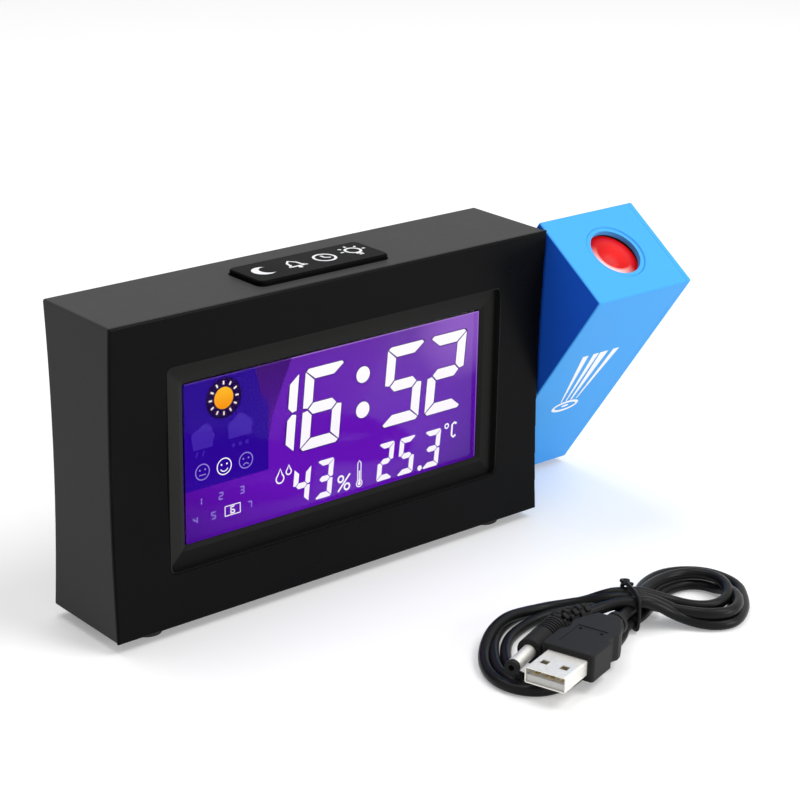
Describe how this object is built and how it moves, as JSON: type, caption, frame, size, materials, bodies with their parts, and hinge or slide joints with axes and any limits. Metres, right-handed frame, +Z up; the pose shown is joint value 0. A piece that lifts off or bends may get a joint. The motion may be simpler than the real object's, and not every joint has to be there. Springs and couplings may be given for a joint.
{
  "type": "projection alarm clock",
  "caption": "Upright rectangular digital clock with a recessed colour display and a blue end block that tilts and projects through a lens, with a tied USB power lead.",
  "frame": {"origin": "middle of the footprint of the clock with its projector block turned forward, on the table, without the power lead", "axes": "+X along the clock towards the projector block, -Y out of the display, +Z up"},
  "size_m": [0.1948, 0.1522, 0.0947],
  "materials": {
    "case_black": "fine matte",
    "cover_black": "semi-gloss",
    "clear_window": "polished",
    "display_glass": "polished, printed inside",
    "white_plastic": "satin",
    "diffuser": "frosted",
    "board_green": "solder mask",
    "chip_black": "resin",
    "silicone_pink": "matte",
    "screw_steel": "zinc plated",
    "nickel": "satin nickel plate",
    "cell_jacket": "film jacket",
    "block_blue": "satin",
    "lens_red": "polished",
    "optics_clear": "polished",
    "inner_black": "matte",
    "led_red": "clear resin",
    "foot_rubber": "matte",
    "cable_black": "satin vinyl",
    "contact_gold": "gold flash"
  },
  "bodies": {
    "clock": {"aaa_cells": "cell_jacket", "backlight_strip": "board_green", "battery_contacts": "nickel", "board_parts": "chip_black", "board_screws": "screw_steel", "buzzer": "inner_black", "case_screws": "screw_steel", "dc_barrel": "nickel", "dc_grip": "cable_black", "dc_jack": "inner_black", "dc_strain_relief": "cable_black", "dc_tip": "inner_black", "display_bezel": "case_black", "display_window": "clear_window", "front_cover": "cover_black", "key_board": "board_green", "key_switches": "inner_black", "lcd_frame": "white_plastic", "lcd_panel": "display_glass", "lead_coil": "cable_black", "lead_end_dc": "cable_black", "lead_end_usb": "cable_black", "lead_tie": "cable_black", "light_guide": "diffuser", "main_board": "board_green", "rear_case": "case_black", "room_sensor": "board_green", "rubber_feet": "foot_rubber", "snooze_board": "board_green", "snooze_switch": "inner_black", "usb_contacts": "contact_gold", "usb_overmould": "cable_black", "usb_shell": "nickel", "usb_tongue": "white_plastic", "zebra_strip": "silicone_pink"},
    "projector": {"projector_housing": "block_blue", "projector_end_cover": "block_blue", "projector_screws": "screw_steel", "pivot_retainer": "inner_black", "friction_washer": "screw_steel", "lens_tube": "inner_black", "projector_lens": "lens_red", "lens_ring": "inner_black", "picture_slide": "optics_clear", "condenser_lens": "optics_clear", "red_led": "led_red", "led_board": "board_green", "projector_harness": "cable_black"},
    "snooze": {"snooze_button": "case_black"},
    "battery_cover": {"battery_door": "case_black"},
    "key_1": {"rear_key_1": "case_black"},
    "key_2": {"rear_key_2": "case_black"},
    "key_3": {"rear_key_3": "case_black"},
    "key_4": {"rear_key_4": "case_black"},
    "key_5": {"rear_key_5": "case_black"},
    "key_6": {"rear_key_6": "case_black"}
  },
  "joints": [
    {"name": "projector_tilt", "type": "hinge", "parent": "clock", "child": "projector", "pos_m": [0.05785, 0, 0.0482], "axis": [1, 0, 0], "range_deg": [-124.5, 55.5]},
    {"name": "snooze_press", "type": "slide", "parent": "clock", "child": "snooze", "axis": [0, 0, -1], "range_m": [0, 0.0008], "stiffness_N_per_m": 600, "springref_m": -0.002},
    {"name": "battery_door_off", "type": "slide", "parent": "clock", "child": "battery_cover", "axis": [0, 1, 0], "range_m": [0, 0.02]},
    {"name": "rear_key_1_press", "type": "slide", "parent": "clock", "child": "key_1", "axis": [0, -1, 0], "range_m": [0, 0.0005], "stiffness_N_per_m": 800, "springref_m": -0.001},
    {"name": "rear_key_2_press", "type": "slide", "parent": "clock", "child": "key_2", "axis": [0, -1, 0], "range_m": [0, 0.0005], "stiffness_N_per_m": 800, "springref_m": -0.001},
    {"name": "rear_key_3_press", "type": "slide", "parent": "clock", "child": "key_3", "axis": [0, -1, 0], "range_m": [0, 0.0005], "stiffness_N_per_m": 800, "springref_m": -0.001},
    {"name": "rear_key_4_press", "type": "slide", "parent": "clock", "child": "key_4", "axis": [0, -1, 0], "range_m": [0, 0.0005], "stiffness_N_per_m": 800, "springref_m": -0.001},
    {"name": "rear_key_5_press", "type": "slide", "parent": "clock", "child": "key_5", "axis": [0, -1, 0], "range_m": [0, 0.0005], "stiffness_N_per_m": 800, "springref_m": -0.001},
    {"name": "rear_key_6_press", "type": "slide", "parent": "clock", "child": "key_6", "axis": [0, -1, 0], "range_m": [0, 0.0005], "stiffness_N_per_m": 800, "springref_m": -0.001}
  ]
}
